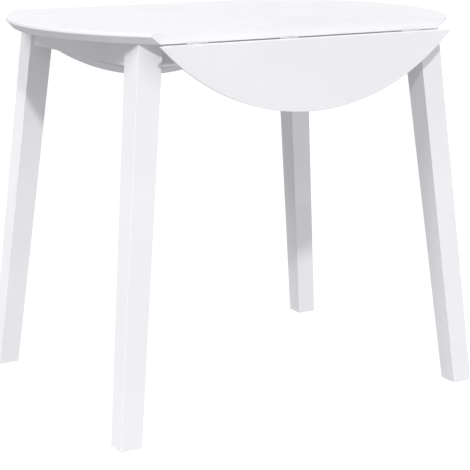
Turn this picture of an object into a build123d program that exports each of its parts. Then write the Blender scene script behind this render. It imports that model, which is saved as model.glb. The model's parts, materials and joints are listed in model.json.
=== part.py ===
from build123d import *
import math
import os

# A round dining table: a fixed centre board, two hinged drop leaves and four splayed
# legs. Millimetres. Origin on the floor under the middle of the table, +Z up, +X along
# the hinge lines. "Front" is -Y and "left" is -X. Both leaves hang at rest.

# ------------------------------------------------------------------ driving dimensions
TABLE_HEIGHT = 750.0
TOP_RADIUS = 437.2
TOP_THICKNESS = 19.0
RIM_BAND = 5.6              # upright band round the rim
RIM_UNDERCUT = 12.6         # the rim is bevelled back under the band by this much
BAND_BREAK = 0.6            # narrow flat between band and bevel
EASED_EDGE = 0.6            # narrow flat round the top face
BOARD_HALF_WIDTH = 297.5    # half the width of the fixed centre board

BOARD_TO_PIN = 3.5          # hinge pin to the board's edge
PIN_TO_LEAF = 1.8           # hinge pin to the raised leaf's edge
PIN_DROP = 0.3              # hinge pin below the underside of the top
BARREL_RADIUS = 1.5
PIN_RADIUS = 0.8
PIN_HEAD = (1.3, 0.8)       # radius, thickness
RUNNING_GAP = 0.05
HINGE_LENGTH = 40.0
MIDDLE_KNUCKLE = 16.0
KNUCKLE_GAP = 0.4
HINGE_REACH = 25.0          # from the pin to the far edge of a hinge plate
HINGE_PLATE = 1.5
HINGE_PLACES = (-233.0, -41.0, 233.0)   # front leaf; the middle one clears the stay

FOOT_CORNER = (403.1, 315.2)    # outer corner of a leg at the floor
FOOT_SECTION = (42.5, 41.7)
HEAD_CORNER = (329.5, 264.1)    # outer corner of a leg under the top
HEAD_SECTION = (48.3, 53.9)
LEG_EDGE = 0.6
GLIDE = (13.0, 2.0)             # radius, thickness
GLIDE_NAIL = (1.25, 12.0)       # radius, length

APRON_HEIGHT = 46.0
APRON_EDGE = 0.6            # narrow flat along an apron's lower arrises
APRON_THICKNESS = 18.0
LONG_APRON_FACE = 243.0         # outer face of the front and back aprons, from the middle
END_APRON_FACE = 325.0          # outer face of the left and right aprons
RAIL_THICKNESS = 20.0
RAIL_HEIGHT = 42.0

DOWEL = (4.0, 30.0)             # radius, length
DOWEL_DROPS = (11.0, 33.0)      # below the underside of the top
DOWEL_IN_RAIL = 18.0

BLOCK_HEIGHT = 38.0
BLOCK_THICKNESS = 24.0
BLOCK_DROP = 2.0                # below the underside of the top
BLOCK_SPAN = 495.0              # |x| + |y| of the block's face next to the leg
SEAT_SPAN = 505.0               # |x| + |y| of the flat cut on a leg's inner corner
SEAT_DROP = 42.0

BOLT_RADIUS = 4.0
BOLT_DROP = 22.0
BOLT_IN_LEG = 30.0
BOLT_TAIL = 4.0                 # thread that shows beyond the nut
WASHER = (9.0, 1.6)             # radius, thickness
NUT = (6.5, 6.5)                # half its width across flats, thickness

SMALL_SCREW = {"length": 14.0, "shank": 1.5, "head": 2.8}
BLOCK_SCREW = {"length": 26.0, "shank": 1.75, "head": 3.6}
TOP_SCREW = {"length": 42.0, "shank": 2.0, "head": 4.0}
DEEP_COUNTERBORE = 14.0
TOP_SCREW_DROP = 30.0           # its head, below the underside of the top

STAY_THICKNESS = 2.0
STAY_LAYER_GAP = 0.4
STAY_HALF_WIDTH = 6.0
RIVET_RADIUS = 2.5
RIVET_HEAD = (4.5, 1.2)         # radius, thickness
FRAME_PIVOT = (-48.0, 20.0)     # from the hinge pin: outward, downward
LEAF_PIVOT = (80.0, 12.0)       # from the hinge pin: along the leaf, off its underside
BRACKET_PLATE = 1.5
BRACKET_HALF = (16.0, 9.0)
BRACKET_SCREW_SPREAD = 10.5     # each side of the bracket's middle

# ------------------------------------------------------------------ worked out from them
UNDERSIDE = TABLE_HEIGHT - TOP_THICKNESS
PIN_Y = BOARD_HALF_WIDTH + BOARD_TO_PIN
PIN_Z = UNDERSIDE - PIN_DROP
FRONT_PIN = Axis((0, -PIN_Y, PIN_Z), (1, 0, 0))
CORNERS = {"front_left": (-1, -1), "front_right": (1, -1), "back_left": (-1, 1), "back_right": (1, 1)}
DIAGONAL = (1, 1, 0)

# The stay: its arms lie in one straight line while the leaf is up, and the lower arm
# hangs plumb from the frame pivot while the leaf is down.
STRETCH = math.dist(FRAME_PIVOT, LEAF_PIVOT)
HUNG_OUT = -LEAF_PIVOT[1] - FRAME_PIVOT[0]
HUNG_DOWN = LEAF_PIVOT[0] - FRAME_PIVOT[1]
LOWER_ARM = (STRETCH**2 - HUNG_OUT**2 - HUNG_DOWN**2) / (2 * (STRETCH - HUNG_DOWN))
UPPER_ARM = STRETCH - LOWER_ARM


# ------------------------------------------------------------------ helpers
def at(origin, direction):
    """A place whose own Z runs along direction."""
    return Plane(origin=origin, z_dir=direction).location


def rod(radius, length):
    """A round bar that stands on the origin."""
    return Cylinder(radius, length, align=(Align.CENTER, Align.CENTER, Align.MIN))


def slab(axis, low, high):
    """Everything between two values of one coordinate."""
    size = [3 * TOP_RADIUS] * 3
    size[axis] = high - low
    middle = [0.0, 0.0, TABLE_HEIGHT]
    middle[axis] = (low + high) / 2
    return Pos(*middle) * Box(*size)


def block(low, high):
    """A box between two opposite corners."""
    size = [b - a for a, b in zip(low, high)]
    middle = [(a + b) / 2 for a, b in zip(low, high)]
    return Pos(*middle) * Box(*size)


def prism(outline, low_z, high_z):
    """An outline seen from above, between two heights."""
    face = make_face(Polyline(*outline, close=True))
    return Pos(0, 0, low_z) * extrude(face, high_z - low_z)


def screw(length, shank, head):
    """A countersunk wood screw: the top of its head at the origin, its point along +Z."""
    outline = [(0, 0), (head, 0), (shank, head - shank), (shank, length - 2 * shank), (0, length)]
    return revolve(Plane.XZ * make_face(Polyline(*outline, close=True)), Axis.Z)


def screw_hole(length, shank, head, counterbore):
    """The cutter for that screw's hole, open above its head by the counterbore."""
    wide = head + RUNNING_GAP
    narrow = shank + RUNNING_GAP
    tip = length - 2 * shank
    outline = [(0, -counterbore), (wide, -counterbore), (wide, 0), (narrow, head - shank), (narrow, tip),
               (RUNNING_GAP, length + RUNNING_GAP), (0, length + RUNNING_GAP)]
    return revolve(Plane.XZ * make_face(Polyline(*outline, close=True)), Axis.Z)


def screws(places, kind):
    return [at(*place) * screw(**kind) for place in places]


def screw_holes(places, kind, counterbore=1.0):
    return [at(*place) * screw_hole(**kind, counterbore=counterbore) for place in places]


def to_corner(shape, side_x, side_y):
    """Copies a shape made in the +X +Y quarter to another corner."""
    if side_x < 0:
        shape = mirror(shape, about=Plane.YZ)
    if side_y < 0:
        shape = mirror(shape, about=Plane.XZ)
    return shape


def to_all_corners(shapes):
    return [to_corner(shape, *sides) for sides in CORNERS.values() for shape in shapes]


def to_both_sides(shapes):
    return shapes + [to_back(shape) for shape in shapes]


def to_back(shape):
    """Copies a front shape to the back leaf's side."""
    return shape.rotate(Axis.Z, 180)


def hang(shape):
    """Swings a shape made on the raised front leaf down about the hinge pin."""
    return shape.rotate(FRONT_PIN, 90)


def leg_outer(axis, z):
    """How far a leg's outer face stands from the middle, along X (0) or Y (1)."""
    return FOOT_CORNER[axis] + (HEAD_CORNER[axis] - FOOT_CORNER[axis]) * z / UNDERSIDE


def leg_inner(axis, z):
    section = FOOT_SECTION[axis] + (HEAD_SECTION[axis] - FOOT_SECTION[axis]) * z / UNDERSIDE
    return leg_outer(axis, z) - section


# ------------------------------------------------------------------ where the fasteners go
def hinge_screw_places(side):
    """Screws of the three front hinges: side is +1 for the board, -1 for the raised leaf."""
    pattern = ((-13.0, 9.5), (13.0, 9.5), (0.0, 17.5))
    z = UNDERSIDE - HINGE_PLATE
    return [((middle + dx, -PIN_Y + side * reach, z), (0, 0, 1))
            for middle in HINGE_PLACES for dx, reach in pattern]


def bracket_screw_places(x_places=(-BRACKET_SCREW_SPREAD, BRACKET_SCREW_SPREAD)):
    """Screws of a stay bracket, seen on a bracket that stands on the origin."""
    return [((x, 0, BRACKET_PLATE), (0, 0, -1)) for x in x_places]


def dowel_places():
    """Start and direction of each dowel, with the aprons' ends at half its length."""
    half = DOWEL[1] / 2
    places = []
    for drop in DOWEL_DROPS:
        z = UNDERSIDE - drop
        for side in (-1, 1):
            y = side * (LONG_APRON_FACE - APRON_THICKNESS / 2)
            x = side * (END_APRON_FACE - APRON_THICKNESS / 2)
            for end in (-1, 1):
                places.append(((end * (leg_inner(0, z) - half), y, z), (end, 0, 0)))
                places.append(((x, end * (leg_inner(1, z) - half), z), (0, end, 0)))
            rail_end = LONG_APRON_FACE - APRON_THICKNESS
            places.append(((0, side * (rail_end - DOWEL_IN_RAIL), z), (0, side, 0)))
    return places


def block_screw_places():
    """Screws from a corner block into its two aprons, in the +X +Y quarter."""
    far_span = BLOCK_SPAN - BLOCK_THICKNESS * math.sqrt(2)
    along_x, along_y = 250.0, 168.0
    recess = 2.0
    places = []
    for drop in DOWEL_DROPS:
        z = UNDERSIDE - drop
        places.append(((along_x, far_span - along_x + recess, z), (0, 1, 0)))
        places.append(((far_span - along_y + recess, along_y, z), (1, 0, 0)))
    return places


def corner_top_screw_places():
    """Screws up through a corner block into the board, in the +X +Y quarter."""
    middle_span = BLOCK_SPAN - BLOCK_THICKNESS / math.sqrt(2)
    z = UNDERSIDE - TOP_SCREW_DROP
    return [((x, middle_span - x, z), (0, 0, 1)) for x in (263.0, 297.0)]


def rail_top_screw_places():
    return [((0, y, UNDERSIDE - TOP_SCREW_DROP), (0, 0, 1)) for y in (-120.0, 120.0)]


def bolt_start():
    """The nut's end of a hanger bolt, on the diagonal line that meets the leg's corner."""
    z = UNDERSIDE - BOLT_DROP
    offset = leg_inner(0, z) - leg_inner(1, z)
    span = BLOCK_SPAN - (BLOCK_THICKNESS + WASHER[1] + NUT[1] + BOLT_TAIL) * math.sqrt(2)
    return ((span + offset) / 2, (span - offset) / 2, z)


def along_bolt(distance):
    """The point this far from the bolt's free end, towards the leg."""
    x, y, z = bolt_start()
    step = distance / math.sqrt(2)
    return (x + step, y + step, z)


# ------------------------------------------------------------------ top and leaves
def round_board():
    """The whole round top as one board, before it is sawn in three."""
    outline = [(0, UNDERSIDE), (TOP_RADIUS - RIM_UNDERCUT, UNDERSIDE), (TOP_RADIUS, TABLE_HEIGHT - RIM_BAND),
               (TOP_RADIUS, TABLE_HEIGHT), (0, TABLE_HEIGHT)]
    section = make_face(Polyline(*outline, close=True))
    band_foot = section.vertices().group_by(Axis.X)[-1].sort_by(Axis.Y)[0]
    section = chamfer(band_foot, BAND_BREAK)
    top_corner = section.vertices().group_by(Axis.Y)[-1].sort_by(Axis.X)[-1]
    section = chamfer(top_corner, EASED_EDGE)
    return revolve(Plane.XZ * section, Axis.Z)


def centre_board():
    board = round_board() & slab(1, -BOARD_HALF_WIDTH, BOARD_HALF_WIDTH)
    holes = to_both_sides(screw_holes(hinge_screw_places(1), SMALL_SCREW))
    holes += to_all_corners(screw_holes(corner_top_screw_places(), TOP_SCREW))
    holes += screw_holes(rail_top_screw_places(), TOP_SCREW)
    return board - holes


def front_leaf():
    leaf = round_board() & slab(1, -TOP_RADIUS - 1, -PIN_Y - PIN_TO_LEAF)
    bracket_holes = [leaf_bracket_place() * hole for hole in screw_holes(bracket_screw_places(), SMALL_SCREW)]
    return hang(leaf - screw_holes(hinge_screw_places(-1), SMALL_SCREW) - bracket_holes)


# ------------------------------------------------------------------ legs and underframe
def leg():
    """A leg in the +X +Y quarter: tapered and splayed both ways, its inner top corner
    cut flat where the hanger bolt goes in."""
    sections = []
    for z in (GLIDE[1], UNDERSIDE):
        low = [leg_inner(axis, z) for axis in (0, 1)]
        high = [leg_outer(axis, z) for axis in (0, 1)]
        middle = Pos((low[0] + high[0]) / 2, (low[1] + high[1]) / 2, z)
        sections.append(middle * Rectangle(high[0] - low[0], high[1] - low[1]))
    body = loft(sections)
    long_edges = body.edges().filter_by(lambda edge: edge.length > UNDERSIDE / 2)
    body = fillet(long_edges, LEG_EDGE)
    seat_size = 100.0
    seat_middle = SEAT_SPAN / 2 - seat_size / 2 / math.sqrt(2)
    seat = Pos(seat_middle, seat_middle, UNDERSIDE - SEAT_DROP / 2) * Rot(0, 0, 45) * Box(
        seat_size, 4 * seat_size, SEAT_DROP)
    nail_hole = Pos(*glide_middle(), GLIDE[1]) * rod(GLIDE_NAIL[0] + RUNNING_GAP, GLIDE_NAIL[1] + RUNNING_GAP)
    return body - [seat, nail_hole, bolt_bar(BOLT_RADIUS + RUNNING_GAP, BOLT_IN_LEG + RUNNING_GAP)] - dowels(
        RUNNING_GAP)


def glide_middle():
    return [FOOT_CORNER[axis] - FOOT_SECTION[axis] / 2 for axis in (0, 1)]


def foot_glide():
    disc = rod(*GLIDE)
    disc = fillet(disc.edges().group_by(Axis.Z)[0], GLIDE[1] / 3)
    nail = Pos(0, 0, GLIDE[1]) * rod(*GLIDE_NAIL)
    return Pos(*glide_middle(), 0) * (disc + nail)


def bolt_bar(radius, depth_in_leg):
    """The hanger bolt's bar, from its free end to the given depth past the leg's flat."""
    x, y, _ = bolt_start()
    to_seat = (SEAT_SPAN - x - y) / math.sqrt(2)
    return at(bolt_start(), DIAGONAL) * rod(radius, to_seat + depth_in_leg)


def nut():
    hexagon = extrude(RegularPolygon(NUT[0], 6, major_radius=False), NUT[1])
    return at(along_bolt(BOLT_TAIL), DIAGONAL) * (hexagon - rod(BOLT_RADIUS, NUT[1]))


def washer():
    return at(along_bolt(BOLT_TAIL + NUT[1]), DIAGONAL) * (rod(*WASHER) - rod(BOLT_RADIUS + 0.3, WASHER[1]))


def dowels(gap=0.0):
    """Every dowel of the underframe, or with a gap the cutters for their holes."""
    radius, length = DOWEL
    return [at(*place) * Pos(0, 0, -gap) * rod(radius + gap, length + 2 * gap) for place in dowel_places()]


def long_apron():
    """The front apron, its ends cut to the slope of the legs."""
    foot = UNDERSIDE - APRON_HEIGHT
    outline = [(-leg_inner(0, foot), foot), (leg_inner(0, foot), foot),
               (leg_inner(0, UNDERSIDE), UNDERSIDE), (-leg_inner(0, UNDERSIDE), UNDERSIDE)]
    board = extrude(Plane.XZ * make_face(Polyline(*outline, close=True)), APRON_THICKNESS)
    board = Pos(0, APRON_THICKNESS - LONG_APRON_FACE, 0) * board
    board = chamfer(board.edges().filter_by(Axis.X).group_by(Axis.Z)[0], APRON_EDGE)
    holes = to_all_corners(screw_holes(block_screw_places(), BLOCK_SCREW, DEEP_COUNTERBORE))
    bracket_holes = [frame_bracket_place() * hole for hole in screw_holes(bracket_screw_places(), SMALL_SCREW)]
    return board - holes - bracket_holes - dowels(RUNNING_GAP)


def end_apron():
    """The right apron, its ends cut to the slope of the legs."""
    foot = UNDERSIDE - APRON_HEIGHT
    outline = [(-leg_inner(1, foot), foot), (leg_inner(1, foot), foot),
               (leg_inner(1, UNDERSIDE), UNDERSIDE), (-leg_inner(1, UNDERSIDE), UNDERSIDE)]
    board = extrude(Plane.YZ * make_face(Polyline(*outline, close=True)), APRON_THICKNESS)
    board = Pos(END_APRON_FACE - APRON_THICKNESS, 0, 0) * board
    board = chamfer(board.edges().filter_by(Axis.Y).group_by(Axis.Z)[0], APRON_EDGE)
    holes = to_all_corners(screw_holes(block_screw_places(), BLOCK_SCREW, DEEP_COUNTERBORE))
    return board - holes - dowels(RUNNING_GAP)


def centre_rail():
    end = LONG_APRON_FACE - APRON_THICKNESS
    rail = block((-RAIL_THICKNESS / 2, -end, UNDERSIDE - RAIL_HEIGHT), (RAIL_THICKNESS / 2, end, UNDERSIDE))
    return rail - screw_holes(rail_top_screw_places(), TOP_SCREW, DEEP_COUNTERBORE) - dowels(RUNNING_GAP)


def corner_block():
    """The glued and screwed block across a corner, in the +X +Y quarter."""
    long_face = LONG_APRON_FACE - APRON_THICKNESS
    end_face = END_APRON_FACE - APRON_THICKNESS
    far_span = BLOCK_SPAN - BLOCK_THICKNESS * math.sqrt(2)
    outline = [(BLOCK_SPAN - long_face, long_face), (end_face, BLOCK_SPAN - end_face),
               (end_face, far_span - end_face), (far_span - long_face, long_face)]
    top = UNDERSIDE - BLOCK_DROP
    body = prism(outline, top - BLOCK_HEIGHT, top)
    holes = screw_holes(block_screw_places(), BLOCK_SCREW, DEEP_COUNTERBORE)
    holes += screw_holes(corner_top_screw_places(), TOP_SCREW, DEEP_COUNTERBORE)
    return body - holes - bolt_bar(BOLT_RADIUS + 0.3, BOLT_IN_LEG)


# ------------------------------------------------------------------ hinges
def hinge_side(side, knuckles):
    """One plate of a hinge with its knuckles, on the origin: the pin along X, the plate
    towards +Y (side 1) or -Y (side -1) as when the leaf is up. Knuckles are spans of X."""
    half = HINGE_LENGTH / 2
    clear = BARREL_RADIUS + KNUCKLE_GAP
    ends = sorted((side * clear, side * HINGE_REACH))
    low_z, high_z = PIN_DROP - HINGE_PLATE, PIN_DROP
    plate = block((-half, ends[0], low_z), (half, ends[1], high_z))
    upright = plate.edges().filter_by(Axis.Z).sort_by(Axis.Y)
    plate = fillet(upright[-2:] if side > 0 else upright[:2], 2.5)
    for low, high in knuckles:
        neck = sorted((0.0, side * (clear + 1)))
        plate += block((low, neck[0], low_z), (high, neck[1], high_z))
        plate += at((low, 0, 0), (1, 0, 0)) * rod(BARREL_RADIUS, high - low)
    bore = at((-half, 0, 0), (1, 0, 0)) * rod(PIN_RADIUS + RUNNING_GAP, HINGE_LENGTH)
    return plate - bore


def hinge_pin(middle):
    half = HINGE_LENGTH / 2
    head_radius, head = PIN_HEAD
    outline = [(0, -half - head), (head_radius, -half - head), (head_radius, -half), (PIN_RADIUS, -half),
               (PIN_RADIUS, half), (head_radius, half), (head_radius, half + head), (0, half + head)]
    pin = revolve(Plane.XZ * make_face(Polyline(*outline, close=True)), Axis.Z)
    return at((middle, -PIN_Y, PIN_Z), (1, 0, 0)) * pin


def board_hinge_plate(middle):
    half = HINGE_LENGTH / 2
    inner = MIDDLE_KNUCKLE / 2 + KNUCKLE_GAP
    plate = Pos(middle, -PIN_Y, PIN_Z) * hinge_side(1, ((-half, -inner), (inner, half)))
    return plate - screw_holes(hinge_screw_places(1), SMALL_SCREW)


def leaf_hinge_plate(middle):
    half = MIDDLE_KNUCKLE / 2
    plate = Pos(middle, -PIN_Y, PIN_Z) * hinge_side(-1, ((-half, half),))
    return hang(plate - screw_holes(hinge_screw_places(-1), SMALL_SCREW))


# ------------------------------------------------------------------ folding stays
# Seen along X the stay is four layers: frame bracket, lower arm, upper arm, leaf bracket.
LAYER = STAY_THICKNESS + STAY_LAYER_GAP
LAYER_X = [LAYER * (index - 2) + STAY_LAYER_GAP / 2 for index in range(4)]
FRAME_PIVOT_YZ = (-PIN_Y - FRAME_PIVOT[0], PIN_Z - FRAME_PIVOT[1])
LEAF_PIVOT_YZ = (-PIN_Y + LEAF_PIVOT[1], PIN_Z - LEAF_PIVOT[0])
ELBOW_YZ = (FRAME_PIVOT_YZ[0], FRAME_PIVOT_YZ[1] - LOWER_ARM)


def leaf_bracket_place():
    """Where the leaf's bracket stands on the raised leaf's underside."""
    return Plane(origin=(0, -PIN_Y - LEAF_PIVOT[0], UNDERSIDE), x_dir=(1, 0, 0), z_dir=(0, 0, -1)).location


def frame_bracket_place():
    """Where the frame's bracket stands on the front apron's outer face."""
    return Plane(origin=(0, -LONG_APRON_FACE, FRAME_PIVOT_YZ[1]), x_dir=(1, 0, 0), z_dir=(0, -1, 0)).location


def bracket(pivot_height, layer_x):
    """A plate on the origin with one upright ear that carries the pivot."""
    half_x, half_y = BRACKET_HALF
    plate = block((-half_x, -half_y, 0), (half_x, half_y, BRACKET_PLATE))
    plate = fillet(plate.edges().filter_by(Axis.Z), 2.5)
    ear_half = STAY_HALF_WIDTH
    ear = block((layer_x, -ear_half, 0), (layer_x + STAY_THICKNESS, ear_half, pivot_height))
    ear += at((layer_x, 0, pivot_height), (1, 0, 0)) * rod(ear_half, STAY_THICKNESS)
    hole = at((layer_x, 0, pivot_height), (1, 0, 0)) * rod(RIVET_RADIUS, STAY_THICKNESS)
    return plate + ear - hole - screw_holes(bracket_screw_places(), SMALL_SCREW)


def arm(start_yz, end_yz, layer_x, gap_end):
    """A flat bar with round ends between two pivots: a running hole at one end,
    "start" or "end", and a fast hole at the other."""
    length = math.dist(start_yz, end_yz)
    bar = extrude(SlotCenterToCenter(length, 2 * STAY_HALF_WIDTH), STAY_THICKNESS)
    running = -length / 2 if gap_end == "start" else length / 2
    bar -= Pos(running, 0, 0) * rod(RIVET_RADIUS + RUNNING_GAP, STAY_THICKNESS)
    bar -= Pos(-running, 0, 0) * rod(RIVET_RADIUS, STAY_THICKNESS)
    middle = [(a + b) / 2 for a, b in zip(start_yz, end_yz)]
    direction = (0, end_yz[0] - start_yz[0], end_yz[1] - start_yz[1])
    return Plane(origin=(layer_x, *middle), x_dir=direction, z_dir=(1, 0, 0)).location * bar


def rivet(pivot_yz, low_x, high_x, heads):
    """A rivet along X between two faces, with a head at each end that is listed."""
    radius, thickness = RIVET_HEAD
    body = at((low_x, *pivot_yz), (1, 0, 0)) * rod(RIVET_RADIUS, high_x - low_x)
    if "low" in heads:
        body += at((low_x - thickness, *pivot_yz), (1, 0, 0)) * rod(radius, thickness)
    if "high" in heads:
        body += at((high_x, *pivot_yz), (1, 0, 0)) * rod(radius, thickness)
    return body


def stay():
    """The front stay's pieces with the leaf hanging, by name."""
    loose = STAY_LAYER_GAP / 2
    elbow_line = LAYER_X[2] - STAY_LAYER_GAP / 2
    running = STAY_THICKNESS + loose
    return {
        "stay_frame_bracket": frame_bracket_place() * bracket(-LONG_APRON_FACE - FRAME_PIVOT_YZ[0], LAYER_X[0]),
        "stay_frame_rivet": rivet(FRAME_PIVOT_YZ, LAYER_X[0], LAYER_X[1] + running, ("low", "high")),
        "stay_lower_arm": arm(FRAME_PIVOT_YZ, ELBOW_YZ, LAYER_X[1], "start"),
        "stay_lower_elbow_rivet": rivet(ELBOW_YZ, LAYER_X[1], elbow_line - loose / 2, ("low",)),
        "stay_upper_arm": arm(LEAF_PIVOT_YZ, ELBOW_YZ, LAYER_X[2], "start"),
        "stay_upper_elbow_rivet": rivet(ELBOW_YZ, elbow_line + loose / 2, LAYER_X[2] + STAY_THICKNESS, ("high",)),
        "stay_leaf_bracket": hang(leaf_bracket_place() * bracket(LEAF_PIVOT[1] + PIN_DROP, LAYER_X[3])),
        "stay_leaf_rivet": rivet(LEAF_PIVOT_YZ, LAYER_X[2] - loose, LAYER_X[3] + STAY_THICKNESS, ("low", "high")),
    }


# ------------------------------------------------------------------ the table, piece by piece
def table():
    nodes = {
        "centre_board": centre_board(),
        "front_leaf": front_leaf(),
        "front_apron": long_apron(),
        "right_apron": end_apron(),
        "centre_rail": centre_rail(),
        "dowels": Compound(dowels()),
        "hanger_bolts": Compound(to_all_corners([bolt_bar(BOLT_RADIUS, BOLT_IN_LEG)])),
        "hanger_bolt_nuts": Compound(to_all_corners([nut()])),
        "hanger_bolt_washers": Compound(to_all_corners([washer()])),
        "foot_glides": Compound(to_all_corners([foot_glide()])),
        "corner_block_screws": Compound(to_all_corners(screws(block_screw_places(), BLOCK_SCREW))),
        "top_screws": Compound(to_all_corners(screws(corner_top_screw_places(), TOP_SCREW))
                               + screws(rail_top_screw_places(), TOP_SCREW)),
        "board_hinge_screws": Compound(to_both_sides(screws(hinge_screw_places(1), SMALL_SCREW))),
    }
    nodes["back_leaf"] = to_back(nodes["front_leaf"])
    nodes["back_apron"] = to_back(nodes["front_apron"])
    nodes["left_apron"] = to_back(nodes["right_apron"])

    one_leg = leg()
    one_block = corner_block()
    for corner, sides in CORNERS.items():
        nodes[f"{corner}_leg"] = to_corner(one_leg, *sides)
        nodes[f"{corner}_block"] = to_corner(one_block, *sides)

    bracket_screws = screws(bracket_screw_places(), SMALL_SCREW)
    frame_screws = [frame_bracket_place() * piece for piece in bracket_screws]
    leaf_screws = screws(hinge_screw_places(-1), SMALL_SCREW)
    leaf_screws += [leaf_bracket_place() * piece for piece in bracket_screws]
    nodes["stay_frame_screws"] = Compound(to_both_sides(frame_screws))

    front = {"hinge_pins": Compound([hinge_pin(middle) for middle in HINGE_PLACES]),
             "leaf_screws": hang(Compound(leaf_screws))}
    for number, middle in enumerate(HINGE_PLACES, start=1):
        front[f"hinge_{number}_board_plate"] = board_hinge_plate(middle)
        front[f"hinge_{number}_leaf_plate"] = leaf_hinge_plate(middle)
    front.update(stay())
    for name, shape in front.items():
        nodes[f"front_{name}"] = shape
        nodes[f"back_{name}"] = to_back(shape)
    return nodes


os.makedirs("parts", exist_ok=True)
for name, shape in table().items():
    export_step(shape, f"parts/{name}.step")
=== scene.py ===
import json
import math

import bmesh
import bpy
from mathutils import Euler, Matrix, Vector


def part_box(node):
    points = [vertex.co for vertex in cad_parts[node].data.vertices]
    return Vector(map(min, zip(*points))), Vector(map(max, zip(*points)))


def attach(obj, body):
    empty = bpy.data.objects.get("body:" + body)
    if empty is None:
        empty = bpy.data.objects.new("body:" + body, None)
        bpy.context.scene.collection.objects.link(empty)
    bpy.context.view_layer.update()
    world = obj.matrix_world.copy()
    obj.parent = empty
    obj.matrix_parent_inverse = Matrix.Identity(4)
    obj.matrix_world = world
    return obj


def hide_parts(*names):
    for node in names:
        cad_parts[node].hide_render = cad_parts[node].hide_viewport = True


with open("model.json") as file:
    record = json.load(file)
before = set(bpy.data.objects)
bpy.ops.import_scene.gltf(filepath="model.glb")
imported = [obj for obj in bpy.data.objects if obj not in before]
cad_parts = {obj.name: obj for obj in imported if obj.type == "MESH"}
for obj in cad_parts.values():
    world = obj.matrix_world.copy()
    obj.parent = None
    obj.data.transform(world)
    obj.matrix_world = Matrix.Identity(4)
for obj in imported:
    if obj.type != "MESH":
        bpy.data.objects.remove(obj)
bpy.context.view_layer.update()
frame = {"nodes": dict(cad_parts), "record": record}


# ---------------------------------------------------------------- centre board
# The fixed middle of the top: a 19 mm fibreboard panel, its rim bevelled back
# underneath, sprayed all over with white satin lacquer and rubbed down between coats.

LACQUER_WHITE = (0.800, 0.803, 0.812)
LACQUER_SHADE = (0.775, 0.778, 0.790)


def new_finish(name):
    """An empty material with its Principled shader wired to the output."""
    material = bpy.data.materials.new(name)
    material.use_nodes = True
    nodes = material.node_tree.nodes
    nodes.clear()
    out = nodes.new("ShaderNodeOutputMaterial")
    shader = nodes.new("ShaderNodeBsdfPrincipled")
    material.node_tree.links.new(shader.outputs["BSDF"], out.inputs["Surface"])
    return material, shader


def place(material, stretch=(1.0, 1.0, 1.0)):
    """Positions on the piece in metres, stretched for grain or brush marks."""
    tree = material.node_tree
    where = tree.nodes.new("ShaderNodeTexCoord")
    mapping = tree.nodes.new("ShaderNodeMapping")
    mapping.inputs["Scale"].default_value = stretch
    tree.links.new(where.outputs["Object"], mapping.inputs["Vector"])
    return mapping.outputs["Vector"]


def cloud(material, where, size, detail=3.0, roughness=0.55, twist=0.0):
    """Noise whose blotches are about size metres across."""
    tree = material.node_tree
    noise = tree.nodes.new("ShaderNodeTexNoise")
    noise.inputs["Scale"].default_value = 1.0 / size
    noise.inputs["Detail"].default_value = detail
    noise.inputs["Roughness"].default_value = roughness
    noise.inputs["Distortion"].default_value = twist
    tree.links.new(where, noise.inputs["Vector"])
    return noise.outputs["Fac"]


def between(material, amount, low, high, out_low, out_high):
    """Spreads amount from low..high to out_low..out_high."""
    tree = material.node_tree
    spread = tree.nodes.new("ShaderNodeMapRange")
    spread.inputs["From Min"].default_value = low
    spread.inputs["From Max"].default_value = high
    spread.inputs["To Min"].default_value = out_low
    spread.inputs["To Max"].default_value = out_high
    tree.links.new(amount, spread.inputs["Value"])
    return spread.outputs["Result"]


def blend_colours(material, amount, first, second):
    tree = material.node_tree
    mix = tree.nodes.new("ShaderNodeMix")
    mix.data_type = "RGBA"
    for socket, colour in ((6, first), (7, second)):
        if isinstance(colour, tuple):
            mix.inputs[socket].default_value = (*colour, 1.0)
        else:
            tree.links.new(colour, mix.inputs[socket])
    tree.links.new(amount, mix.inputs[0])
    return mix.outputs[2]


def relief(material, shader, heights):
    """Stacks bump layers, each (height, depth in metres, strength)."""
    tree = material.node_tree
    normal = None
    for height, depth, strength in heights:
        bump = tree.nodes.new("ShaderNodeBump")
        bump.inputs["Distance"].default_value = depth
        bump.inputs["Strength"].default_value = strength
        tree.links.new(height, bump.inputs["Height"])
        if normal is not None:
            tree.links.new(normal, bump.inputs["Normal"])
        normal = bump.outputs["Normal"]
    tree.links.new(normal, shader.inputs["Normal"])


def white_lacquer(name, grain=None):
    """Sprayed satin lacquer. With a grain direction, the wood's pores show faintly
    through the coats, long along that axis (0, 1 or 2)."""
    material, shader = new_finish(name)
    tree = material.node_tree
    plain = place(material)
    drift = cloud(material, plain, 0.22, detail=2.0)
    haze = cloud(material, plain, 0.035, detail=4.0)
    colour = blend_colours(
        material, between(material, drift, 0.35, 0.65, 0.0, 1.0), LACQUER_WHITE, LACQUER_SHADE)
    sheen = between(material, haze, 0.3, 0.7, 0.40, 0.50)
    peel = cloud(material, plain, 0.0011, detail=1.5)
    heights = [(peel, 0.00004, 0.35)]
    if grain is not None:
        stretch = [1.0, 1.0, 1.0]
        stretch[grain] = 0.03
        pores = cloud(material, place(material, tuple(stretch)), 0.0016, detail=5.0, roughness=0.6)
        bands = cloud(material, place(material, tuple(stretch)), 0.012, detail=2.0, twist=0.4)
        heights.append((between(material, pores, 0.35, 0.75, 0.0, 1.0), 0.00008, 0.45))
        heights.append((bands, 0.0003, 0.30))
        colour = blend_colours(
            material, between(material, pores, 0.55, 0.85, 0.0, 0.35), colour, LACQUER_SHADE)
    tree.links.new(colour, shader.inputs["Base Color"])
    tree.links.new(sheen, shader.inputs["Roughness"])
    shader.inputs["Specular IOR Level"].default_value = 0.34
    relief(material, shader, heights)
    return material


def finish_node(name, material):
    """Gives a CAD piece its finish."""
    piece = frame["nodes"][name]
    piece.data.materials.clear()
    piece.data.materials.append(material)


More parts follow.
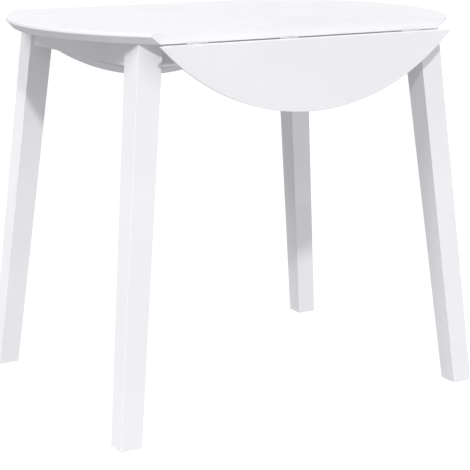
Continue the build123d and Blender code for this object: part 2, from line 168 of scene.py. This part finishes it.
sprayed_board = white_lacquer("white_lacquer_on_board")
finish_node("centre_board", sprayed_board)


# ---------------------------------------------------------------- drop leaves
# Two segments sawn from the same round panel, with the same bevelled rim and the
# same lacquer. They hang from three hinges each.

for leaf in ("front_leaf", "back_leaf"):
    finish_node(leaf, sprayed_board)


# ---------------------------------------------------------------- legs
# Four solid hardwood legs, sawn to a taper on all four faces and set splayed both
# ways. The lacquer lets a little of the upright grain through.

lacquered_upright = white_lacquer("white_lacquer_on_leg", grain=2)
CORNERS = ("front_left", "front_right", "back_left", "back_right")
for corner in CORNERS:
    finish_node(f"{corner}_leg", lacquered_upright)


# ---------------------------------------------------------------- aprons and rail
# Solid wood rails on edge between the legs, and one rail across the middle under
# the board. Their grain runs along them.

lacquered_along_x = white_lacquer("white_lacquer_on_long_apron", grain=0)
lacquered_along_y = white_lacquer("white_lacquer_on_end_apron", grain=1)
for name in ("front_apron", "back_apron"):
    finish_node(name, lacquered_along_x)
for name in ("left_apron", "right_apron", "centre_rail"):
    finish_node(name, lacquered_along_y)


# ---------------------------------------------------------------- corner blocks and dowels
# Bare hardwood blocks, sawn and planed, screwed across the corners out of sight, and
# plain dowels of the same wood in the joints.

WOOD_PALE = (0.64, 0.46, 0.27)
WOOD_RING = (0.53, 0.36, 0.19)
WOOD_PORE = (0.36, 0.22, 0.11)


def bare_wood(name):
    material, shader = new_finish(name)
    tree = material.node_tree
    fibres = cloud(material, place(material, (1.0, 1.0, 0.06)), 0.0022, detail=6.0, roughness=0.65)
    rings = cloud(material, place(material, (1.0, 1.0, 0.15)), 0.016, detail=2.0, twist=1.2)
    colour = blend_colours(
        material, between(material, rings, 0.35, 0.65, 0.0, 1.0), WOOD_PALE, WOOD_RING)
    colour = blend_colours(
        material, between(material, fibres, 0.55, 0.75, 0.0, 0.5), colour, WOOD_PORE)
    tree.links.new(colour, shader.inputs["Base Color"])
    tree.links.new(between(material, fibres, 0.3, 0.7, 0.55, 0.72), shader.inputs["Roughness"])
    relief(material, shader, [(fibres, 0.00015, 0.6)])
    return material


rubberwood = bare_wood("bare_rubberwood")
for corner in CORNERS:
    finish_node(f"{corner}_block", rubberwood)
finish_node("dowels", rubberwood)


# ---------------------------------------------------------------- hinges and stays
# Small butt hinges with rolled knuckles and flat-bar folding stays, all pressed from
# sheet steel and zinc plated.

def zinc_plate(name, colour, rough):
    material, shader = new_finish(name)
    tree = material.node_tree
    plain = place(material)
    bloom = cloud(material, plain, 0.006, detail=4.0)
    drawn = cloud(material, place(material, (0.05, 1.0, 1.0)), 0.0006, detail=3.0)
    dull = tuple(channel * 0.86 for channel in colour)
    tint = blend_colours(material, between(material, bloom, 0.35, 0.7, 0.0, 1.0), colour, dull)
    tree.links.new(tint, shader.inputs["Base Color"])
    tree.links.new(between(material, bloom, 0.3, 0.7, rough, rough + 0.12), shader.inputs["Roughness"])
    shader.inputs["Metallic"].default_value = 1.0
    relief(material, shader, [(drawn, 0.00002, 0.4)])
    return material


pressed_steel = zinc_plate("zinc_plated_sheet", (0.80, 0.79, 0.765), 0.34)
for side in ("front", "back"):
    for number in (1, 2, 3):
        finish_node(f"{side}_hinge_{number}_board_plate", pressed_steel)
        finish_node(f"{side}_hinge_{number}_leaf_plate", pressed_steel)
    finish_node(f"{side}_hinge_pins", pressed_steel)
    for part in ("frame_bracket", "lower_arm", "upper_arm", "leaf_bracket"):
        finish_node(f"{side}_stay_{part}", pressed_steel)


# ---------------------------------------------------------------- stay rivets
# Mild steel rivets through the folding stays, their heads set to a low dome with a
# snap. Each elbow rivet is in two halves, one on each arm.

body_of_node = {}
for body, nodes in frame["record"]["behaviour"]["bodies"].items():
    body_of_node.update(dict.fromkeys(nodes, body))


def make_piece(name, shape, material, stands_for):
    """Turns a bmesh into a piece that rides where the CAD piece it stands for does."""
    bmesh.ops.recalc_face_normals(shape, faces=shape.faces)
    mesh = bpy.data.meshes.new(name)
    shape.to_mesh(mesh)
    shape.free()
    for face in mesh.polygons:
        face.use_smooth = True
    mesh.set_sharp_from_angle(angle=math.radians(35.0))
    mesh.materials.append(material)
    piece = bpy.data.objects.new(name, mesh)
    bpy.context.scene.collection.objects.link(piece)
    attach(piece, body_of_node[stands_for])
    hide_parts(stands_for)


def ring_at(shape, where, radius, height, segments):
    """A ring of points about the Z axis of the matrix where."""
    ring = []
    for step in range(segments):
        angle = 2.0 * math.pi * step / segments
        point = Vector((radius * math.cos(angle), radius * math.sin(angle), height))
        ring.append(shape.verts.new(where @ point))
    return ring


def wall_between(shape, lower, upper):
    """Four-sided faces from one ring to another with as many points."""
    for step in range(len(lower)):
        after = (step + 1) % len(lower)
        shape.faces.new([lower[step], lower[after], upper[after], upper[step]])


def turn_profile(shape, profile, segments, where):
    """Turns a (radius, height) profile about its Z axis, closed at both ends, and sets
    it down at the matrix where."""
    rings = []
    for radius, height in profile:
        if radius == 0.0:
            rings.append([shape.verts.new(where @ Vector((0.0, 0.0, height)))])
            continue
        rings.append(ring_at(shape, where, radius, height, segments))
    for lower, upper in zip(rings, rings[1:]):
        for step in range(segments):
            after = (step + 1) % segments
            corners = [lower[step % len(lower)], lower[after % len(lower)],
                       upper[after % len(upper)], upper[step % len(upper)]]
            shape.faces.new(list(dict.fromkeys(corners)))


RIVET_SHANK = 0.0025
RIVET_HEAD_RISE = 0.0012
RIVET_SIDES = 32
DOME_STEPS = 6
RIM_SHARE = 0.25        # of a rivet head's rise, upright at its rim


def dome(radius, rise, start, side):
    """Profile points of a domed head from its flat rim at start out to its crown."""
    points = []
    for step in range(DOME_STEPS + 1):
        climb = step / DOME_STEPS * math.pi / 2.0
        height = RIM_SHARE * rise + (1.0 - RIM_SHARE) * rise * math.sin(climb)
        points.append((radius * math.cos(climb), start + side * height))
    points[-1] = (0.0, points[-1][1])
    return points


for side in ("front", "back"):
    for part, headed_ends in (("frame_rivet", (-1, 1)), ("lower_elbow_rivet", (-1,)),
                              ("upper_elbow_rivet", (1,)), ("leaf_rivet", (-1, 1))):
        node = f"{side}_stay_{part}"
        low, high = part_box(node)
        head_radius = (high[1] - low[1]) / 2.0
        if side == "back":
            headed_ends = tuple(-end for end in headed_ends)
        profile = []
        if -1 in headed_ends:
            face = low[0] + RIVET_HEAD_RISE
            profile += dome(head_radius, RIVET_HEAD_RISE, face, -1)[::-1] + [(head_radius, face)]
        else:
            face = low[0]
            profile += [(0.0, face)]
        profile += [(RIVET_SHANK, face)]
        if 1 in headed_ends:
            face = high[0] - RIVET_HEAD_RISE
            profile += [(RIVET_SHANK, face), (head_radius, face)]
            profile += dome(head_radius, RIVET_HEAD_RISE, face, 1)
        else:
            profile += [(RIVET_SHANK, high[0]), (0.0, high[0])]
        along_x = Matrix.Translation((0.0, (low[1] + high[1]) / 2.0, (low[2] + high[2]) / 2.0))
        along_x = along_x @ Matrix.Rotation(math.pi / 2.0, 4, "Y")
        shape = bmesh.new()
        turn_profile(shape, profile, RIVET_SIDES, along_x)
        make_piece(f"{node}_domed", shape, pressed_steel, node)


# ---------------------------------------------------------------- wood screws
# Zinc-plated countersunk screws with a cross recess, driven flush with the hinge
# plates and brackets, or to the bottom of counterbores in the blocks and the rail.

screw_steel = zinc_plate("zinc_plated_screw", (0.72, 0.71, 0.70), 0.28)
SAME_REACH = 0.00002        # two points this close in distance count as equally far
SCREW_SIDES = 36
SCREW_RIM = (0.985, 0.00012)        # share of the head's radius, depth of its narrow edge
RECESS_MOUTH = (0.17, 0.62)         # half width and half length, shares of the head's radius
RECESS_FLOOR = (0.12, 0.34)
RECESS_DEPTH = 0.42
SPIN_BETWEEN_SCREWS = 47.0          # degrees from one screw's recess to the next one's


def solids_of(node):
    """The separate solids of a CAD piece, each as a list of its points."""
    mesh = frame["nodes"][node].data
    spots = [tuple(round(value, 6) for value in vertex.co) for vertex in mesh.vertices]
    links = {}
    for edge in mesh.edges:
        first, second = (spots[index] for index in edge.vertices)
        links.setdefault(first, []).append(second)
        links.setdefault(second, []).append(first)
    seen = set()
    solids = []
    for start in links:
        if start in seen:
            continue
        seen.add(start)
        solid, queue = [], [start]
        while queue:
            here = queue.pop()
            solid.append(Vector(here))
            fresh = [spot for spot in links[here] if spot not in seen]
            seen.update(fresh)
            queue += fresh
        solids.append(solid)
    return solids


def furthest(points, here):
    """The points of a screw that are as far as any from one of its ends."""
    reach = max((point - here).length for point in points)
    return [point for point in points if (point - here).length > reach - SAME_REACH]


def screw_line(points):
    """The middle of a screw's head, and its point."""
    one_end = furthest(points, points[0])[0]
    other_end = furthest(points, one_end)[0]
    tip = max((one_end, other_end), key=lambda end: len(furthest(points, end)))
    rim = furthest(points, tip)
    return sum(rim, Vector()) / len(rim), tip


def cross_outline(half_width, half_length):
    """Twelve points round a cross, starting to the right."""
    quarter = [(half_length, -half_width), (half_length, half_width), (half_width, half_width)]
    outline = []
    for turn in range(4):
        cosine, sine = math.cos(turn * math.pi / 2.0), math.sin(turn * math.pi / 2.0)
        outline += [(x * cosine - y * sine, x * sine + y * cosine) for x, y in quarter]
    return outline


def add_screw(shape, head_middle, tip, shank, head, spin):
    """One screw: its rim, cone, shank and point, and a cross recess in its head."""
    axis = tip - head_middle
    length = axis.length
    where = Matrix.Translation(head_middle) @ axis.to_track_quat("Z", "Y").to_matrix().to_4x4()
    where = where @ Matrix.Rotation(spin, 4, "Z")
    rim_share, rim_depth = SCREW_RIM
    rim = ring_at(shape, where, head, 0.0, SCREW_SIDES)
    below = rim
    for radius, height in ((head * rim_share, rim_depth),
                           (shank, head - shank + rim_depth),
                           (shank, length - 2.0 * shank)):
        ring = ring_at(shape, where, radius, height, SCREW_SIDES)
        wall_between(shape, below, ring)
        below = ring
    point = shape.verts.new(where @ Vector((0.0, 0.0, length)))
    for step in range(SCREW_SIDES):
        shape.faces.new([below[step], below[(step + 1) % SCREW_SIDES], point])
    mouth, recess_floor = [
        [shape.verts.new(where @ Vector((x, y, head * depth)))
         for x, y in cross_outline(head * half_width, head * half_length)]
        for (half_width, half_length), depth in ((RECESS_MOUTH, 0.0), (RECESS_FLOOR, RECESS_DEPTH))]
    count = len(mouth)
    wall_between(shape, mouth, recess_floor)
    shape.faces.new(recess_floor)
    # the flat of the head, from the rim in to the mouth of the recess, a quarter at a time
    per_quarter = SCREW_SIDES // 4
    for turn in range(4):
        arm_left = mouth[(turn * 3 + 1) % count]
        inner = mouth[(turn * 3 + 2) % count]
        arm_right = mouth[(turn * 3 + 3) % count]
        arc = [rim[(turn * per_quarter + step) % SCREW_SIDES] for step in range(per_quarter + 1)]
        half = per_quarter // 2
        shape.faces.new([mouth[turn * 3], arm_left, arc[0]])
        for first, second in zip(arc[:half], arc[1:half + 1]):
            shape.faces.new([arm_left, first, second])
        shape.faces.new([arm_left, arc[half], inner])
        shape.faces.new([inner, arc[half], arm_right])
        for first, second in zip(arc[half:], arc[half + 1:]):
            shape.faces.new([arm_right, first, second])


SCREW_KINDS = {
    # node: (shank radius, head radius)
    "board_hinge_screws": (0.0015, 0.0028),
    "stay_frame_screws": (0.0015, 0.0028),
    "front_leaf_screws": (0.0015, 0.0028),
    "back_leaf_screws": (0.0015, 0.0028),
    "corner_block_screws": (0.00175, 0.0036),
    "top_screws": (0.002, 0.004),
}
for node, (shank, head) in SCREW_KINDS.items():
    shape = bmesh.new()
    for number, points in enumerate(solids_of(node)):
        head_middle, tip = screw_line(points)
        add_screw(shape, head_middle, tip, shank, head, math.radians(SPIN_BETWEEN_SCREWS * number))
    make_piece(f"{node}_cross_head", shape, screw_steel, node)


# ---------------------------------------------------------------- hanger bolts, nuts and washers
# M8 bolts screwed into the legs' corners, threaded all along. Each takes a washer and
# a chamfered nut on the inside of its corner block.

BOLT_RADIUS = 0.004
THREAD_PITCH = 0.00125
THREAD_DEPTH = 0.0006
BOLT_SIDES = 20
ROWS_PER_TURN = 4
LEAD_IN = (0.0012, 0.35)        # length of a bolt's tapered ends, and share of radius lost
NUT_HALF_FLATS = 0.0065
NUT_SIDES = 48
NUT_FLAT_CIRCLE = 0.97          # flat circle on a nut's face, share of its half flats
NUT_CHAMFER = math.radians(30.0)


def axis_frame(low_end, high_end):
    """The matrix that stands a piece up from one end towards the other, and its length."""
    line = high_end - low_end
    return Matrix.Translation(low_end) @ line.to_track_quat("Z", "Y").to_matrix().to_4x4(), line.length


def far_ends(points, direction):
    """The middles of a straight bar's two end faces along a direction."""
    reach = [point.dot(direction) for point in points]
    low, high = min(reach), max(reach)
    ends = []
    for limit in (low, high):
        face = [point for point, value in zip(points, reach) if abs(value - limit) < SAME_REACH]
        ends.append(sum(face, Vector()) / len(face))
    return ends


def outward_diagonal(points):
    """The level 45 degree direction out towards this piece's leg."""
    middle = sum(points, Vector()) / len(points)
    return Vector((math.copysign(1.0, middle.x), math.copysign(1.0, middle.y), 0.0)).normalized()


def add_threaded_bar(shape, where, length):
    """A bolt whose V-shaped thread winds up it, tapered off at both ends."""
    lead_length, lead_loss = LEAD_IN
    rows = int(length / THREAD_PITCH * ROWS_PER_TURN)
    rings = []
    for row in range(rows + 1):
        height = length * row / rows
        lead = 1.0 - lead_loss * max(0.0, 1.0 - min(height, length - height) / lead_length)
        ring = []
        for step in range(BOLT_SIDES):
            phase = (height / THREAD_PITCH - step / BOLT_SIDES) % 1.0
            depth = THREAD_DEPTH * abs(2.0 * phase - 1.0)
            reach = (BOLT_RADIUS - depth) * lead
            angle = 2.0 * math.pi * step / BOLT_SIDES
            point = Vector((reach * math.cos(angle), reach * math.sin(angle), height))
            ring.append(shape.verts.new(where @ point))
        rings.append(ring)
        if row > 0:
            wall_between(shape, rings[-2], ring)
    shape.faces.new(rings[0])
    shape.faces.new(rings[-1])


def add_nut(shape, where, thickness):
    """A hexagon with its corners turned off at both ends."""
    flat_circle = NUT_HALF_FLATS * NUT_FLAT_CIRCLE
    rings = {}
    for name in ("bore_low", "flat_low", "edge_low", "edge_high", "flat_high", "bore_high"):
        rings[name] = []
        for step in range(NUT_SIDES):
            angle = 2.0 * math.pi * step / NUT_SIDES
            from_flat = (angle % (math.pi / 3.0)) - math.pi / 6.0
            hexagon = NUT_HALF_FLATS / math.cos(from_flat)
            drop = (hexagon - flat_circle) * math.tan(NUT_CHAMFER)
            radius = {"bore": BOLT_RADIUS, "flat": flat_circle, "edge": hexagon}[name.split("_")[0]]
            height = drop if name.startswith("edge") else 0.0
            if name.endswith("high"):
                height = thickness - height
            point = Vector((radius * math.cos(angle), radius * math.sin(angle), height))
            rings[name].append(shape.verts.new(where @ point))
    order = list(rings.values())
    for lower, upper in zip(order, order[1:] + order[:1]):
        wall_between(shape, lower, upper)


shape = bmesh.new()
for points in solids_of("hanger_bolts"):
    free_end, leg_end = far_ends(points, outward_diagonal(points))
    where, length = axis_frame(free_end, leg_end)
    add_threaded_bar(shape, where, length)
make_piece("hanger_bolts_threaded", shape, screw_steel, "hanger_bolts")

shape = bmesh.new()
for points in solids_of("hanger_bolt_nuts"):
    free_end, leg_end = far_ends(points, outward_diagonal(points))
    where, thickness = axis_frame(free_end, leg_end)
    add_nut(shape, where, thickness)
make_piece("hanger_bolt_nuts_chamfered", shape, screw_steel, "hanger_bolt_nuts")
finish_node("hanger_bolt_washers", pressed_steel)


# ---------------------------------------------------------------- foot glides
# Moulded nylon buttons under the feet, each held by a nail driven up into the end
# grain of its leg.

def moulded_nylon(name):
    material, shader = new_finish(name)
    tree = material.node_tree
    grit = cloud(material, place(material), 0.0012, detail=3.0)
    colour = blend_colours(material, grit, (0.74, 0.74, 0.73), (0.62, 0.62, 0.61))
    tree.links.new(colour, shader.inputs["Base Color"])
    tree.links.new(between(material, grit, 0.3, 0.7, 0.45, 0.6), shader.inputs["Roughness"])
    relief(material, shader, [(grit, 0.00006, 0.5)])
    return material


finish_node("foot_glides", moulded_nylon("white_nylon"))


# ---------------------------------------------------------------- studio
# A white sweep that glows softly up at the table, an even white surround, one small
# key light on the front left, two soft boxes on the left, and a wide bounce in front
# and behind.

SEEN_WHITE = 1.08
FLOOR_RADIUS = 40.0
FLOOR_GLOW = 0.56
SURROUND_POWER = 0.48
SHADE_TINT = (0.985, 0.98, 1.02)
STUDIO_LIGHTS = (
    # name, turn from the front towards the left, rise, width (degrees), power, colour
    ("key", 24.0, 35.6, 3.0, 1.43, (1.0, 0.998, 0.985)),
    ("high_left_box", 90.0, 58.0, 24.0, 1.06, (1.0, 1.0, 1.0)),
    ("low_left_box", 80.0, 40.0, 24.0, 1.02, (1.0, 1.0, 1.0)),
    ("front_bounce", -30.0, 8.0, 60.0, 0.96, SHADE_TINT),
    ("back_bounce", 180.0, 8.0, 60.0, 0.19, SHADE_TINT),
)


def glow_by_ray(tree, shader_kind, target, seen_power, cast_power, cast_colour):
    """Bright white where the camera sees it, and a weaker glow for everything it lights."""
    seen = tree.nodes.new(shader_kind)
    seen.inputs["Color"].default_value = (1.0, 1.0, 1.0, 1.0)
    seen.inputs["Strength"].default_value = seen_power
    cast = tree.nodes.new(shader_kind)
    cast.inputs["Color"].default_value = (*cast_colour, 1.0)
    cast.inputs["Strength"].default_value = cast_power
    ray = tree.nodes.new("ShaderNodeLightPath")
    choice = tree.nodes.new("ShaderNodeMixShader")
    tree.links.new(ray.outputs["Is Camera Ray"], choice.inputs["Fac"])
    tree.links.new(cast.outputs[0], choice.inputs[1])
    tree.links.new(seen.outputs[0], choice.inputs[2])
    tree.links.new(choice.outputs[0], target)


floor_mesh = bpy.data.meshes.new("floor")
shape = bmesh.new()
bmesh.ops.create_circle(shape, cap_ends=True, radius=FLOOR_RADIUS, segments=64)
shape.to_mesh(floor_mesh)
shape.free()
floor = bpy.data.objects.new("floor", floor_mesh)
bpy.context.scene.collection.objects.link(floor)

paper = bpy.data.materials.new("white_paper")
paper.use_nodes = True
paper.node_tree.nodes.clear()
paper_out = paper.node_tree.nodes.new("ShaderNodeOutputMaterial")
glow_by_ray(
    paper.node_tree, "ShaderNodeEmission", paper_out.inputs["Surface"],
    SEEN_WHITE, FLOOR_GLOW, SHADE_TINT)
floor_mesh.materials.append(paper)

world = bpy.data.worlds.new("studio")
bpy.context.scene.world = world
world.use_nodes = True
world.node_tree.nodes.clear()
world_out = world.node_tree.nodes.new("ShaderNodeOutputWorld")
glow_by_ray(
    world.node_tree, "ShaderNodeBackground", world_out.inputs["Surface"],
    SEEN_WHITE, SURROUND_POWER, SHADE_TINT)

for name, turn, rise, width, power, colour in STUDIO_LIGHTS:
    light = bpy.data.lights.new(name, "SUN")
    light.energy = power
    light.angle = math.radians(width)
    light.color = colour
    lamp = bpy.data.objects.new(name, light)
    lamp.rotation_euler = Euler((math.radians(90.0 - rise), 0.0, math.radians(-turn)))
    bpy.context.scene.collection.objects.link(lamp)

CAMERA_PLACE = (-1.4891, -2.5738, 1.0020)
CAMERA_TURN = 30.40         # degrees from the front towards the left
CAMERA_DIP = 13.40          # degrees below level
FOCAL_LENGTH = 112.7        # millimetres, on a 36 mm wide sensor

lens = bpy.data.cameras.new("camera")
lens.sensor_width = 36.0
lens.lens = FOCAL_LENGTH
camera = bpy.data.objects.new("camera", lens)
camera.location = CAMERA_PLACE
camera.rotation_euler = Euler((math.radians(90.0 - CAMERA_DIP), 0.0, math.radians(-CAMERA_TURN)))
bpy.context.scene.collection.objects.link(camera)
bpy.context.scene.camera = camera

bpy.context.scene.view_settings.view_transform = "Standard"
bpy.context.scene.view_settings.look = "None"
